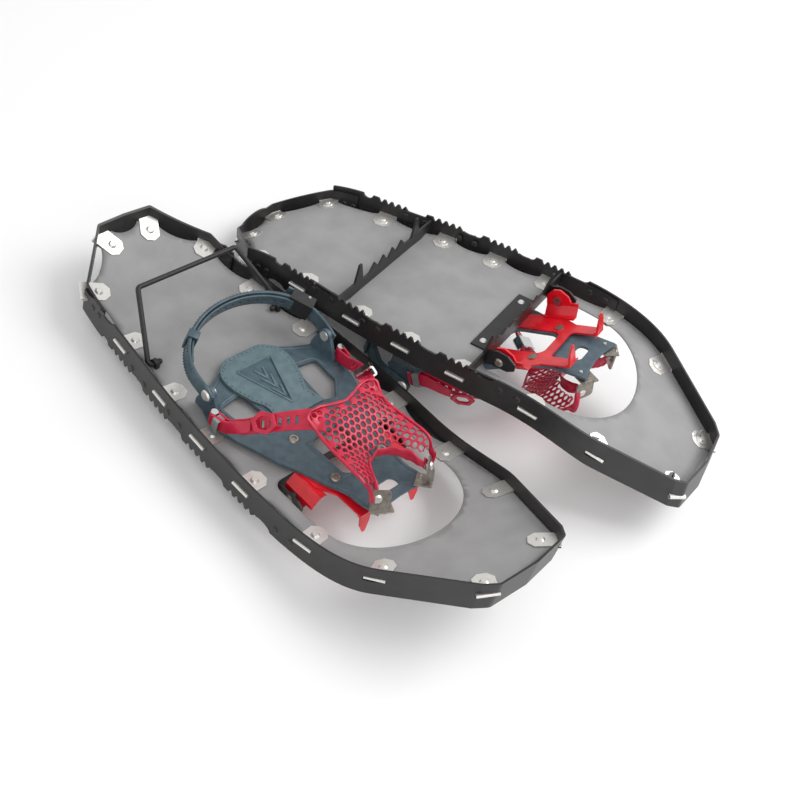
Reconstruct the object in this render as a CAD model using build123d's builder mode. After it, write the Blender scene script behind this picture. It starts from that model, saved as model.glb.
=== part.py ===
"""A pair of backcountry snowshoes: the left one standing on its teeth, the right one upside down beside it.

Each shoe is drawn in its own frame: +Y to the toe, +X to the right, z = 0 at the middle of the deck.
The heel strap and the lifter are drawn flat about their own pivots and then swung up.
"""
from build123d import *
from math import asin, atan2, cos, degrees, radians, sin, sqrt, tan
import os

# ---------------------------------------------------------------- driving dimensions (mm)
blade_wall = 2.2                            # aluminium strip of the frame
blade_above, blade_below = 12.5, 17.5       # its edges above and below the deck
deck_wall = 1.2

flat_rear, flat_front = -150.0, 100.0       # the deck is flat between these
tail_radius, nose_radius = 203.0, 246.0     # then turns up at the tail and the toe
nose_arc_end = 205.0                        # and the toe runs on straight
tail_end, nose_end = -252.0, 297.0

clip_width, clip_wall = 20.0, 0.8
rivet_inset = 15.4                          # clip rivet to the outer face of the blade
leaf_top, leaf_bottom = 1.0, -0.7          # inner faces of a clip's two leaves
clip_shank = 2.0

hinge_y, hinge_z = 89.0, -9.0               # binding pivots
hinge_shank, running = 2.5, 0.05            # pin radius and radial running clearance
ear_inner, ear_outer = 66.9, 69.1
flange_inner, flange_outer = 60.0, 62.2

front_beam_y, rear_beam_y = 74.0, -80.0     # front faces of the two crossmembers
long_tooth = -34.5                          # tips of the end teeth, which the left shoe stands on

lifter_y, lifter_z = -95.0, 4.0
lifter_reach, lifter_foot, lifter_top = 70.3, 84.0, 60.0
wire_radius = 2.5

strap_y, strap_z = -24.0, 27.0              # tower rivets that the heel strap swings on
tower_inner, tower_outer = 71.0, 75.0
strap_half, strap_depth = 78.3, 75.0        # outside of the heel strap
strap_wall, strap_height = 3.0, 15.0
strap_straight = 16.0                       # straight legs beside the towers
tower_shank = 3.0

# angles at rest (degrees): binding heel up, heel strap and lifter up from the deck towards the tail
left_binding, left_strap, left_lifter = 0.0, 13.1, 38.0
right_binding, right_strap, right_lifter = 21.5, -33.0, 8.0

# the pair on the floor
pair_shift = Location((120.19, -33.365, -long_tooth))
right_place = (Location((-211.9, 15.8, 42.3), (0, 0, 11.93)) * Location((0, 0, 0), (8.8, 0, 0))
               * Location((0, 0, 0), (0, 180, 0)))

# ---------------------------------------------------------------- outline and deck line
side_points = [(79.5, -203), (87.5, -130), (97, -58), (101.5, 0), (103.8, 62), (101.9, 140), (90, 211)]
with BuildLine() as side_line:
    Spline(*side_points, tangents=((0.12, 1), (-0.457, 0.889)))
side_curve = side_line.edges()[0]


def outer_edge(y):
    """Point and outward heading (degrees) on the frame's right outer face at y."""
    low, high = 0.0, 1.0
    for _ in range(40):
        middle = (low + high) / 2
        low, high = (middle, high) if (side_curve @ middle).Y < y else (low, middle)
    along = side_curve % low
    return (side_curve @ low).X, degrees(atan2(-along.X, along.Y))


def corner(before, point, after, inset):
    """A corner of the outline moved inwards between its two edges."""
    first, second = (point - before).normalized(), (after - point).normalized()
    normals = Vector(first.Y, -first.X), Vector(second.Y, -second.X)
    return point - (normals[0] + normals[1]) * (inset / (1 + normals[0].dot(normals[1])))


def outline(inset=0.0):
    """Plan of the frame's outer face, moved inwards by inset."""
    sides = [Vector(*point) for point in side_points]
    lean = [side_curve % side_curve.param_at_point(point) for point in sides]
    inner = [point - Vector(along.Y, -along.X) * inset for point, along in zip(sides, lean)]
    tail = [Vector(0, tail_end), Vector(33, tail_end + 1)]
    toe = [Vector(53, 283), Vector(43, nose_end - 4), Vector(0, nose_end)]
    inner[0] = corner(tail[1], sides[0], sides[0] + lean[0], inset)
    tail_corner = corner(tail[0], tail[1], sides[0], inset)
    toe_corners = (corner(sides[-1], toe[0], toe[1], inset), corner(toe[0], toe[1], toe[2], inset))
    with BuildSketch() as plan:
        with BuildLine():
            Spline(*inner, tangents=(lean[0], lean[-1]))
            Polyline(inner[-1], *toe_corners, (0, nose_end - inset))
            Polyline(inner[0], tail_corner, (0, tail_end + inset))
            mirror(about=Plane.YZ)
        make_face()
        fillet([v for v in plan.vertices() if abs(v.X) > 20 and not -190 < v.Y < 225], 7 - inset)
    return plan.sketch


def deck_band(above, below):
    """Side view of a band that follows the deck, from below to above it."""
    sweep_tail, sweep_nose = 34.5, degrees(asin((nose_arc_end - flat_front) / nose_radius))
    run = nose_end + 14 - nose_arc_end
    with BuildSketch() as band:
        with BuildLine():
            ends = []
            for lift in (above, below):
                tail = CenterArc((flat_rear, tail_radius), tail_radius - lift, 270, -sweep_tail)
                Line((flat_rear, lift), (flat_front, lift))
                nose = CenterArc((flat_front, nose_radius), nose_radius - lift, 270, sweep_nose)
                toe = Line(nose @ 1, nose @ 1 + Vector(run, run * tan(radians(sweep_nose))))
                ends.append((tail @ 1, toe @ 1))
            Line(ends[0][0], ends[1][0])
            Line(ends[0][1], ends[1][1])
        make_face()
    return band.sketch


def deck_z(y):
    """Height of the deck's middle at y."""
    if y < flat_rear:
        return tail_radius - sqrt(tail_radius**2 - (y - flat_rear) ** 2)
    run = max(0.0, min(y, nose_arc_end) - flat_front)
    return nose_radius - sqrt(nose_radius**2 - run**2) + max(0.0, y - nose_arc_end) * deck_slope(y)


def deck_slope(y):
    """Rise of the deck per millimetre forward at y."""
    if y < flat_rear:
        return (y - flat_rear) / sqrt(tail_radius**2 - (y - flat_rear) ** 2)
    run = max(0.0, min(y, nose_arc_end) - flat_front)
    return run / sqrt(nose_radius**2 - run**2)


def ring(outer, inner, above, below):
    """Strip along the outline between two insets and two heights about the deck."""
    with BuildPart() as strip:
        with BuildSketch(Plane.XY.offset(-60)):
            add(outline(outer))
            add(outline(inner), mode=Mode.SUBTRACT)
        extrude(amount=190)
        with BuildSketch(Plane.YZ.offset(-120)):
            add(deck_band(above, below))
        extrude(amount=240, mode=Mode.INTERSECT)
    return strip.part


# clips on the right side, from the tail to the toe: rivet (x, y) and outward heading from +X
clips = [(23.2, -234.6, -62), (65.5, -196.8, -28), (72.0, -129.8, -7), (81.4, -58.9, -6), (86.0, 0.0, -3),
         (88.3, 61.7, 0), (85.6, 138.7, 4), (73.6, 205.2, 16), (37.6, 277.3, 48)]
clip_planes = []
for clip_x, clip_y, heading in clips:
    for side in (1, -1):
        out = Vector(side * cos(radians(heading)), sin(radians(heading)),
                     sin(radians(heading)) * deck_slope(clip_y))
        clip_planes.append(Plane((side * clip_x, clip_y, deck_z(clip_y)), x_dir=out,
                                 z_dir=(0, -deck_slope(clip_y), 1)))

# blade rivets on the right side: y, height above the deck
blade_rivets = [(-184, 1), (-173, 2), (-110.5, -9), (-88, -9), (-47.2, -6), (-28.9, -6), (108.3, -8), (126.9, -8)]

rivet_planes = []
for rivet_y, rivet_z in blade_rivets:
    rivet_x, heading = outer_edge(rivet_y)
    for side in (1, -1):
        rivet_planes.append(Plane((side * rivet_x, rivet_y, deck_z(rivet_y) + rivet_z), x_dir=(0, 0, 1),
                                  z_dir=(side * cos(radians(heading)), sin(radians(heading)), 0)))

# ---------------------------------------------------------------- frame
with BuildPart() as side_frame:
    add(ring(0, blade_wall, blade_above, -blade_below))
    # the tail has a blade of its own
    with Locations((0, -300, 0)):
        Box(300, 200, 200, mode=Mode.SUBTRACT)
    # lower edge: groups of one long and four short teeth with arches between them
    with BuildSketch(Plane.YZ.offset(-120)):
        for group in (-147, -83, -17, 46):
            with Locations(*[(group + 5 + 8.2 * step, -blade_below - 0.5) for step in range(5)]):
                Trapezoid(6.4, 5.0, 60, align=(Align.CENTER, Align.MIN))
            with Locations((group + 46, -blade_below - 1)):
                Ellipse(12, 6)
            with Locations((group - 11, -blade_below - 1)):
                Ellipse(6, 6)
        with Locations((92, -blade_below - 1)):
            Ellipse(9, 5)
        # dips in the upper edge by the tail
        for y in (-193, -160):
            with Locations((y, deck_z(y) + blade_above + 1)):
                Ellipse(11, 5.5)
    extrude(amount=240, mode=Mode.SUBTRACT)
    with Locations(*[plane.location for plane in clip_planes]):
        with Locations((rivet_inset - 1, 0, 0.1)):
            Box(12, clip_width + 1.2, 4.8, mode=Mode.SUBTRACT)
    with Locations(*[plane.location for plane in rivet_planes]):
        Cylinder(2.0, 14, mode=Mode.SUBTRACT)

with BuildPart() as tail_frame:
    add(ring(blade_wall + 0.05, 2 * blade_wall + 0.05, blade_above - 1.5, -blade_below + 5))
    with Locations((0, -168 + 300, 0)):
        Box(300, 600, 300, mode=Mode.SUBTRACT)
    # the middle of the rear blade hangs deeper
    with BuildSketch(Plane.XZ.offset(-tail_end - blade_wall - 0.05)):
        with Locations((0, deck_z(tail_end) - 8)):
            Ellipse(27, 12)
    extrude(amount=-blade_wall)
    with Locations(*[plane.location for plane in clip_planes[:4]]):
        with Locations((rivet_inset - 1, 0, 0.1)):
            Box(16, clip_width + 1.2, 4.8, mode=Mode.SUBTRACT)
    with Locations(*[plane.location for plane in rivet_planes[:4]]):
        Cylinder(2.0, 14, mode=Mode.SUBTRACT)

# ---------------------------------------------------------------- deck, clips and their rivets
with BuildPart() as deck:
    with BuildSketch(Plane.XY.offset(-60)):
        add(outline(3.0))
        with Locations((0, -260)):
            Rectangle(220, 200, mode=Mode.SUBTRACT)
        add(outline(5.0))
        # scallops between the clips
        for near, far in zip(clips[:6], clips[1:7]):
            for side in (1, -1):
                a = Vector(side * (near[0] + 13 * cos(radians(near[2]))), near[1] + 13 * sin(radians(near[2])))
                b = Vector(side * (far[0] + 13 * cos(radians(far[2]))), far[1] + 13 * sin(radians(far[2])))
                with Locations(Location((a + b) / 2, (0, 0, degrees(atan2(b.Y - a.Y, b.X - a.X))))):
                    Ellipse((b - a).length / 2 - 9, 8.5, mode=Mode.SUBTRACT)
        with Locations((0, tail_end + 2)):
            Ellipse(17, 9, mode=Mode.SUBTRACT)
        # toe opening
        with Locations((0, 140)):
            Ellipse(76, 66, mode=Mode.SUBTRACT)
        with Locations((0, 106.5)):
            RectangleRounded(152, 67, 10, mode=Mode.SUBTRACT)
    extrude(amount=190)
    with BuildSketch(Plane.YZ.offset(-120)):
        add(deck_band(deck_wall / 2, -deck_wall / 2))
    extrude(amount=240, mode=Mode.INTERSECT)
    with Locations(*[plane.location for plane in clip_planes]):
        Cylinder(clip_shank, 8, mode=Mode.SUBTRACT)
    with Locations((41, 58, 0), (-41, 58, 0)):
        Cylinder(clip_shank, 8, mode=Mode.SUBTRACT)

# one folded leaf each side of the deck, the fold outside the blade
fold_middle = (leaf_top + clip_wall + leaf_bottom - clip_wall) / 2
fold_radius = (leaf_top - leaf_bottom) / 2 + clip_wall
with BuildPart() as deck_clips:
    with Locations(*[plane.location for plane in clip_planes]):
        with Locations((rivet_inset + 1, 0, fold_middle)):
            Cylinder(fold_radius, clip_width, rotation=(90, 0, 0))
            Cylinder(fold_radius - clip_wall, clip_width, rotation=(90, 0, 0), mode=Mode.SUBTRACT)
        with Locations((rivet_inset + 1 - 5, 0, fold_middle)):
            Box(10, clip_width, 2 * fold_radius, mode=Mode.SUBTRACT)
        with Locations(((rivet_inset + 1 - 11) / 2, 0, leaf_top + clip_wall / 2),
                       ((rivet_inset + 1 - 11) / 2, 0, leaf_bottom - clip_wall / 2)):
            Box(rivet_inset + 12, clip_width, clip_wall)
        Cylinder(clip_shank, 12, mode=Mode.SUBTRACT)
        # clipped corners at the leaf's inner end
        with Locations(Location((-11, clip_width / 2, 0), (0, 0, 45)), Location((-11, -clip_width / 2, 0), (0, 0, 45))):
            Box(8, 8, 12, mode=Mode.SUBTRACT)

with BuildPart() as clip_rivets:
    with Locations(*[plane.location for plane in clip_planes]):
        with Locations((0, 0, leaf_bottom - clip_wall - 1.0)):
            Cylinder(clip_shank, leaf_top - leaf_bottom + 2 * clip_wall + 1.0,
                     align=(Align.CENTER, Align.CENTER, Align.MIN))
        with Locations((0, 0, leaf_top + clip_wall)):
            Cone(4.2, 2.6, 1.7, align=(Align.CENTER, Align.CENTER, Align.MIN))
        with Locations((0, 0, leaf_bottom - clip_wall - 1.0)):
            Cone(2.4, 3.4, 1.1, align=(Align.CENTER, Align.CENTER, Align.MAX))

with BuildPart() as clip_washers:
    with Locations(*[plane.location for plane in clip_planes]):
        with Locations((0, 0, leaf_bottom - clip_wall)):
            Cylinder(6.0, 1.0, align=(Align.CENTER, Align.CENTER, Align.MAX))
            Cylinder(clip_shank, 1.0, align=(Align.CENTER, Align.CENTER, Align.MAX), mode=Mode.SUBTRACT)


# ---------------------------------------------------------------- crossmembers
def side_strips(y_from, y_to):
    """The two ends of a crossmember, turned along the inside of the side blades."""
    with BuildPart() as strips:
        add(ring(blade_wall + 0.02, 2 * blade_wall + 0.02, -3, -15))
        with Locations((0, (y_from + y_to) / 2, 0)):
            Box(300, y_to - y_from, 60, mode=Mode.INTERSECT)
    return strips.part


def beam(front_y, bottom, lead):
    """Upright cross strip with its front face at front_y; bottom is the half profile of its lower edge."""
    reach = outer_edge(front_y)[0] - 1.5 * blade_wall
    with BuildPart() as strip:
        with BuildSketch(Plane.XZ.offset(-front_y)):
            with BuildLine():
                Polyline((0, -0.7), (70, -0.7), (78, -3), (reach, -3), (reach, -15), *bottom, (0, bottom[-1][1]))
                mirror(about=Plane.YZ)
            make_face()
        extrude(amount=blade_wall)
        # end teeth, leaning forward
        lean = radians(lead)
        with BuildSketch(Plane((0, front_y, -12), x_dir=(1, 0, 0), z_dir=(0, -cos(lean), -sin(lean)))):
            for side in (1, -1):
                with BuildLine():
                    depth = (long_tooth + 12 + blade_wall * sin(lean)) / cos(lean)
                    tip = bottom[1][0] * side
                    Polyline((tip - 8, 0), (tip - 2, depth), (tip + 2, depth), (tip + 8, 0), (tip - 8, 0))
                make_face()
        extrude(amount=blade_wall)
        add(side_strips(front_y - blade_wall, 140) if front_y > 0 else side_strips(-119, front_y))
        with Locations(*[plane.location for plane in rivet_planes]):
            Cylinder(2.0, 14, mode=Mode.SUBTRACT)
    return strip


with BuildPart() as front_crossmember:
    add(beam(front_beam_y, [(76, -15), (65, -15), (54, -13)] + [(50 - 8 * k, -17.5 if k % 2 else -13.5)
        for k in range(6)] + [(2, -13.5)], 10).part)
    # flange under the deck and ears for the binding pins
    with Locations((0, 61.5, -0.7)):
        Box(104, 23, 2.0, align=(Align.CENTER, Align.CENTER, Align.MAX))
    for side in (1, -1):
        with BuildSketch(Plane.YZ.offset(ear_inner if side > 0 else -ear_outer)):
            Polygon((72.5, -3), (99, -3), (106, -7), (106, -14), (97, -20), (86, -21), (72.5, -16), align=None)
            with Locations((hinge_y, hinge_z)):
                Circle(hinge_shank, mode=Mode.SUBTRACT)
        extrude(amount=ear_outer - ear_inner)
    with Locations((41, 58, -2), (-41, 58, -2)):
        Cylinder(clip_shank, 8, mode=Mode.SUBTRACT)

with BuildPart() as rear_crossmember:
    add(beam(rear_beam_y, [(76, -15), (55, -15), (44, -13), (35, -13), (26.25, -22), (17.5, -13), (8.75, -22),
                           (2, -13)], 0).part)

with BuildPart() as deck_rivets:
    with Locations((41, 58, -2.7), (-41, 58, -2.7)):
        Cylinder(clip_shank, 2.7 + deck_wall / 2, align=(Align.CENTER, Align.CENTER, Align.MIN))
        Cone(2.4, 3.6, 1.2, align=(Align.CENTER, Align.CENTER, Align.MAX))
    with Locations((41, 58, deck_wall / 2), (-41, 58, deck_wall / 2)):
        Cone(4.6, 3.4, 1.1, align=(Align.CENTER, Align.CENTER, Align.MIN))

with BuildPart() as blade_rivet_heads:
    grip = 2 * blade_wall + 0.15
    with Locations(*[plane.location for plane in rivet_planes]):
        Cylinder(2.0, grip, align=(Align.CENTER, Align.CENTER, Align.MAX))
        with Locations((0, 0, 0.1)):
            Cone(3.6, 2.4, 0.9, align=(Align.CENTER, Align.CENTER, Align.MIN))
            Cylinder(2.0, 0.5, align=(Align.CENTER, Align.CENTER, Align.CENTER))
        with Locations((0, 0, -grip)):
            Cone(2.4, 3.4, 1.0, align=(Align.CENTER, Align.CENTER, Align.MAX))

# ---------------------------------------------------------------- binding pivots
with BuildPart() as hinge_pins:
    for side in (1, -1):
        with Locations(Location((side * 58.2, hinge_y, hinge_z), (0, side * 90, 0))):
            Cylinder(4.3, 1.5, align=(Align.CENTER, Align.CENTER, Align.MIN))
            Cylinder(hinge_shank, ear_outer - 58.2, align=(Align.CENTER, Align.CENTER, Align.MIN))
        with Locations(Location((side * ear_outer, hinge_y, hinge_z), (0, side * 90, 0))):
            Cone(4.6, 3.2, 1.6, align=(Align.CENTER, Align.CENTER, Align.MIN))

with BuildPart() as hinge_bushes:
    for side in (1, -1):
        with Locations(Location((side * (flange_outer + 0.35), hinge_y, hinge_z), (0, side * 90, 0))):
            Cylinder(4.8, ear_inner - flange_outer - 0.35, align=(Align.CENTER, Align.CENTER, Align.MIN))
            Cylinder(hinge_shank, 12, mode=Mode.SUBTRACT)

# ---------------------------------------------------------------- heel lifter
with BuildPart() as lifter_pivots:
    for side in (1, -1):
        with BuildSketch(Plane.YZ.offset(74.5 if side > 0 else -78.7)):
            with Locations((lifter_y, 2.8)):
                Rectangle(9.6, 4.4)
            with Locations((lifter_y, lifter_z)):
                Circle(4.8)
            with Locations((lifter_y, -2.4)):
                Rectangle(20, 6, mode=Mode.SUBTRACT)
            with Locations((lifter_y, lifter_z)):
                Circle(wire_radius + running, mode=Mode.SUBTRACT)
        extrude(amount=4.2)

# drawn flat: pivot axis through the origin, the bail reaching towards -Y
with BuildPart() as flat_lifter:
    with BuildLine() as wire:
        leg = FilletPolyline((lifter_foot - 12.5, 0), (lifter_foot, 0), (lifter_top, -lifter_reach),
                             (-lifter_top, -lifter_reach), (-lifter_foot, 0), (12.5 - lifter_foot, 0), radius=4)
    with BuildSketch(Plane(leg @ 0, z_dir=leg % 0)):
        Circle(wire_radius)
    sweep()
    with Locations((lifter_foot - 12.8, 0, 0), (12.8 - lifter_foot, 0, 0)):
        Sphere(2.9)

# ---------------------------------------------------------------- binding: base, crampon and brackets
base_line = [(-62, 5), (-20, 5), (40, 7), (103, 9.5), (135, 14), (164, 22.3)]      # (y, z) of its top
base_wall = 2.8


def base_band(above, below, height):
    """Side view of a layer that follows the base's top."""
    with BuildSketch() as band:
        with BuildLine():
            Polyline(*[(y, min(z, height) + above) for y, z in base_line])
            Polyline(*[(y, min(z, height) + below) for y, z in base_line])
            Line((base_line[0][0], base_line[0][1] + above), (base_line[0][0], base_line[0][1] + below))
            Line((base_line[-1][0], min(base_line[-1][1], height) + above),
                 (base_line[-1][0], min(base_line[-1][1], height) + below))
        make_face()
    return band.sketch


with BuildPart() as binding_base:
    with BuildSketch(Plane.XY.offset(-10)):
        with BuildLine():
            Polyline((0, -57), (34, -54), (52, -44), (72, -36), (80, -14), (80, 4), (74, 24), (66, 45), (60, 63),
                     (54, 75.5), (48, 90), (41, 110), (35, 123), (35.5, 143), (35, 161), (16, 157), (0, 156))
            mirror(about=Plane.YZ)
        make_face()
        with Locations((0, 83)):
            RectangleRounded(40, 50, 9, mode=Mode.SUBTRACT)
        for side in (1, -1):
            with BuildLine():
                FilletPolyline((34 * side, -22), (60 * side, -18), (58 * side, 12), (42 * side, 30), (29 * side, 26),
                               radius=3, close=True)
            make_face(mode=Mode.SUBTRACT)
        with Locations((0, 139)):
            RectangleRounded(24, 12, 5, mode=Mode.SUBTRACT)
    extrude(amount=50)
    with BuildSketch(Plane.YZ.offset(-120)):
        add(base_band(0, -base_wall, 50))
    extrude(amount=240, mode=Mode.INTERSECT)
    # side towers
    for side in (1, -1):
        with BuildSketch(Plane.YZ.offset(tower_inner if side > 0 else -tower_outer)):
            Polygon((-38, 3.2), (-38, 9), (-30.5, 29), (-17.5, 29), (-7, 12), (-5, 3.2), align=None)
            with Locations((strap_y, strap_z)):
                Circle(7)
        extrude(amount=tower_outer - tower_inner)
    with Locations((0, strap_y, strap_z)):
        Cylinder(tower_shank, 200, rotation=(0, 90, 0), mode=Mode.SUBTRACT)
    with Locations(*[(x, y, 8) for x in (30, -30) for y in (48, 104)]):
        Cylinder(2.5, 30, mode=Mode.SUBTRACT)
    with Locations((28, 153.5, 18), (-28, 153.5, 18)):
        Cylinder(1.6, 30, mode=Mode.SUBTRACT)

with BuildPart() as crampon:
    with BuildSketch(Plane.XY.offset(-10)):
        with BuildLine():
            Polyline((0, 44), (38, 44), (50, 62), (51, 100), (40, 118), (39, 148), (0, 148))
            mirror(about=Plane.YZ)
        make_face()
        with Locations((0, 83)):
            RectangleRounded(44, 54, 9, mode=Mode.SUBTRACT)
        with Locations((0, 134)):
            RectangleRounded(50, 28, 5, mode=Mode.SUBTRACT)
        with Locations((0, 40)):
            Ellipse(22, 9, mode=Mode.SUBTRACT)
    extrude(amount=50)
    with BuildSketch(Plane.YZ.offset(-120)):
        add(base_band(-base_wall, -base_wall - 1.8, 9.5))
    extrude(amount=240, mode=Mode.INTERSECT)
    with Locations(*[(x, y, 8) for x in (30, -30) for y in (48, 104)]):
        Cylinder(2.5, 30, mode=Mode.SUBTRACT)
    # sloping walls down to the upright flanges
    with BuildSketch(Plane.XZ.offset(-76.5)):
        for side in (1, -1):
            with BuildLine():
                Polyline(*[(side * x, z) for x, z in ((47, 5.1), (54, 5.1), (flange_outer, -3.4), (flange_outer, -7),
                                                      (flange_inner, -7), (flange_inner, -4), (53, 3.2), (47, 3.2))],
                         close=True)
            make_face()
    extrude(amount=-35)
    for side in (1, -1):
        with BuildSketch(Plane.YZ.offset(flange_inner if side > 0 else -flange_outer)):
            Polygon((78, -5), (77, -8), (78, -15), (86, -21), (94, -21), (102, -14), (104, -8), (103, -5), align=None)
        extrude(amount=flange_outer - flange_inner)
        with Locations((side * 61, hinge_y, hinge_z)):
            Cylinder(hinge_shank + running, 8, rotation=(0, 90, 0), mode=Mode.SUBTRACT)
    # front teeth
    with BuildSketch(Plane((0, 148, 5), x_dir=(1, 0, 0), z_dir=(0, -cos(radians(11)), -sin(radians(11))))):
        for side in (1, -1):
            Polygon(*[(side * x, z) for x, z in ((25, 1), (39, 1), (38, -12), (34, -20.5), (31, -20.5), (27, -10))],
                    align=None)
    extrude(amount=2.0)
    with Locations((32, 146, 4.7), (-32, 146, 4.7)):
        Box(14, 4, 2.6)

with BuildPart() as crampon_rivets:
    for y, top, low in ((48, 7.55, 2.2), (104, 10.5, 4.8)):
        with Locations((30, y, top), (-30, y, top)):
            Cylinder(2.5, top - low, align=(Align.CENTER, Align.CENTER, Align.MAX))
            Cone(5.2, 4.2, 1.4, align=(Align.CENTER, Align.CENTER, Align.MIN))
        with Locations((30, y, low), (-30, y, low)):
            Cylinder(4.4, 0.9, align=(Align.CENTER, Align.CENTER, Align.MAX))
        with Locations((30, y, top + 0.4), (-30, y, top + 0.4)):
            Cylinder(2.6, 2, align=(Align.CENTER, Align.CENTER, Align.MIN), mode=Mode.SUBTRACT)

with BuildPart() as heel_pad:
    with BuildSketch(Plane.XY.offset(5)):
        with BuildLine():
            Polyline((0, -62), (22, -62), (37, -50), (39.5, -38), (38, -26), (32, -8), (24, 6), (29, 27), (0, 27))
            mirror(about=Plane.YZ)
        make_face()
    extrude(amount=3.4)
    with BuildSketch(Plane.YZ.offset(-60)):
        Polygon((-63, 4), (-63, 8.5), (-12, 8.5), (28, 9.4), (28, 6.75), (-12, 5.35), (-20, 5.02), align=None)
    extrude(amount=120, mode=Mode.INTERSECT)
    with BuildSketch(Plane.XY.offset(7.3)):
        with BuildLine():
            FilletPolyline((-21, -43), (21, -43), (0, 14), radius=3, close=True)
        make_face()
    extrude(amount=4, mode=Mode.SUBTRACT)

bracket_across = Vector(0.839, -0.545, 0)
bracket_up = Vector(-0.228, -0.349, 0.906)
with BuildPart() as toe_brackets:
    with BuildSketch(Plane((35, 155, 36), x_dir=bracket_across, z_dir=bracket_across.cross(bracket_up))):
        with Locations((-3, -3)):
            RectangleRounded(19, 23, 4)
        Circle(1.8, mode=Mode.SUBTRACT)
    extrude(amount=1.6)
    with BuildSketch(Plane((33.5, 161.5, 22.9), x_dir=bracket_across, z_dir=(0, -0.275, 0.961))):
        with Locations((-3, -6)):
            Rectangle(18, 16)
    extrude(amount=1.6)
    with Locations((28, 153.5, 20)):
        Cylinder(1.6, 30, mode=Mode.SUBTRACT)
    mirror(about=Plane.YZ)

with BuildPart() as toe_bracket_rivets:
    with Locations(Plane((35, 155, 36), x_dir=bracket_across, z_dir=bracket_across.cross(bracket_up)).location):
        Cylinder(1.8, 4.8, align=(Align.CENTER, Align.CENTER, Align.MIN))
        Cone(2.8, 4.2, 1.3, align=(Align.CENTER, Align.CENTER, Align.MAX))
        with Locations((0, 0, 4.8)):
            Cone(4.0, 2.8, 1.3, align=(Align.CENTER, Align.CENTER, Align.MIN))
    with Locations((28, 153.5, 20.0)):
        Cylinder(1.6, 9.5)
    mirror(about=Plane.YZ)

# ---------------------------------------------------------------- forefoot net and its fittings
net_sections = [(58, 66, 65, 60, 56), (75, 62, 61, 56, 51), (91, 57, 57, 52, 46), (108, 47, 50, 53, 49),
                (124, 38, 46, 54, 50), (138, 33, 42, 53, 50), (150, 27, 33, 41, 41), (158, 22, 26, 32, 32)]
net_wall = 3.0
post_x, post_y, post_radius, post_middle = 80.2, -8.0, 1.9, 13.5
arm_height, arm_wall = 13.0, 2.8
arm_x = post_x - post_radius - 0.1 - arm_wall / 2
# rear arm of the net: middle of each section, its direction, and the direction across the strap
net_arm = [((38, 66, 56), (0.66, -0.62, -0.42), (0.62, 0.78, -0.15)),
           ((55, 44, 45), (0.58, -0.64, -0.50), (0.60, 0.40, 0.68)),
           ((70.5, 25, 26.5), (0.36, -0.72, -0.60), (0.30, 0.20, 0.93)),
           ((arm_x, 7, post_middle), (0, -1, 0), (0, 0, 1)),
           ((arm_x, post_y, post_middle), (0, -1, 0), (0, 0, 1))]
with BuildPart() as forefoot_net:
    for y, middle, near, edge, far in net_sections:
        with BuildSketch(Plane.XZ.offset(-y)):
            with BuildLine():
                crest = Spline((-58, far), (-42, edge), (-22, near), (0, middle), (22, near), (42, edge), (58, far))
                under = Spline(*[(x, z - net_wall * 1.15) for x, z in ((-58, far), (-42, edge), (-22, near),
                               (0, middle), (22, near), (42, edge), (58, far))])
                Line(crest @ 0, under @ 0)
                Line(crest @ 1, under @ 1)
            make_face()
    loft()
    with BuildSketch(Plane.XY):
        with BuildLine():
            Polyline((0, 68), (24, 60.5), (40, 58.5), (46, 66), (42, 78), (44, 92), (45, 110), (44, 140), (42, 156),
                     (30, 157), (26, 146), (20, 126), (0, 115))
            mirror(about=Plane.YZ)
        make_face()
    extrude(amount=120, mode=Mode.INTERSECT)
    # the front arms end on the brackets' inner faces
    for side in (1, -1):
        seat = Plane((side * 35, 155, 36), x_dir=(side * bracket_across.X, bracket_across.Y, 0),
                     z_dir=(-side * 0.494, -0.760, -0.417))
        with Locations(seat.location):
            with Locations((0, 0, 1.65)):
                Box(90, 90, 60, align=(Align.CENTER, Align.CENTER, Align.MAX), mode=Mode.SUBTRACT)
            Cylinder(1.85, 30, mode=Mode.SUBTRACT)
            with Locations((0, 0, 4.75)):
                Cylinder(4.4, 12, align=(Align.CENTER, Align.CENTER, Align.MIN), mode=Mode.SUBTRACT)
    # rear arms twist upright and wrap round the two posts
    for side in (1, -1):
        for (x, y, z), along, across in net_arm:
            with BuildSketch(Plane((side * x, y, z), x_dir=(side * across[0], across[1], across[2]),
                                   z_dir=(side * along[0], along[1], along[2]))):
                Rectangle(arm_height, arm_wall)
        loft(ruled=True)
        with BuildSketch(Plane.XY.offset(post_middle - arm_height / 2)):
            with Locations((side * post_x, post_y)):
                Circle(post_radius + 0.1 + arm_wall)
                Circle(post_radius + 0.1, mode=Mode.SUBTRACT)
                with Locations((0, 10)):
                    Rectangle(20, 20, mode=Mode.SUBTRACT)
            reach = 40 if side > 0 else 14
            with Locations((side * (post_x + post_radius + 0.1 + arm_wall / 2), post_y - 0.01)):
                Rectangle(arm_wall, reach, align=(Align.CENTER, Align.MIN))
        extrude(amount=arm_height)
    # finger loop at the end of the right arm
    with BuildSketch(Plane.YZ.offset(post_x + post_radius + 0.1)):
        with Locations((post_y + 47, post_middle)):
            RegularPolygon(10, 6)
            RegularPolygon(6.5, 6, mode=Mode.SUBTRACT)
    extrude(amount=arm_wall)

with BuildPart() as net_posts:
    for side in (1, -1):
        with Locations((side * post_x, post_y, 0)):
            with Locations((0, 0, 5.5)):
                Cylinder(post_radius, 16.5, align=(Align.CENTER, Align.CENTER, Align.MIN))
            with Locations((0, 0, post_middle + arm_height / 2 + 0.4)):
                Cylinder(post_radius + 1.6, 1.6, align=(Align.CENTER, Align.CENTER, Align.MIN))
            with Locations((0, 0, 5.5)):
                Cylinder(3.4, 1.0, align=(Align.CENTER, Align.CENTER, Align.MIN))

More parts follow.
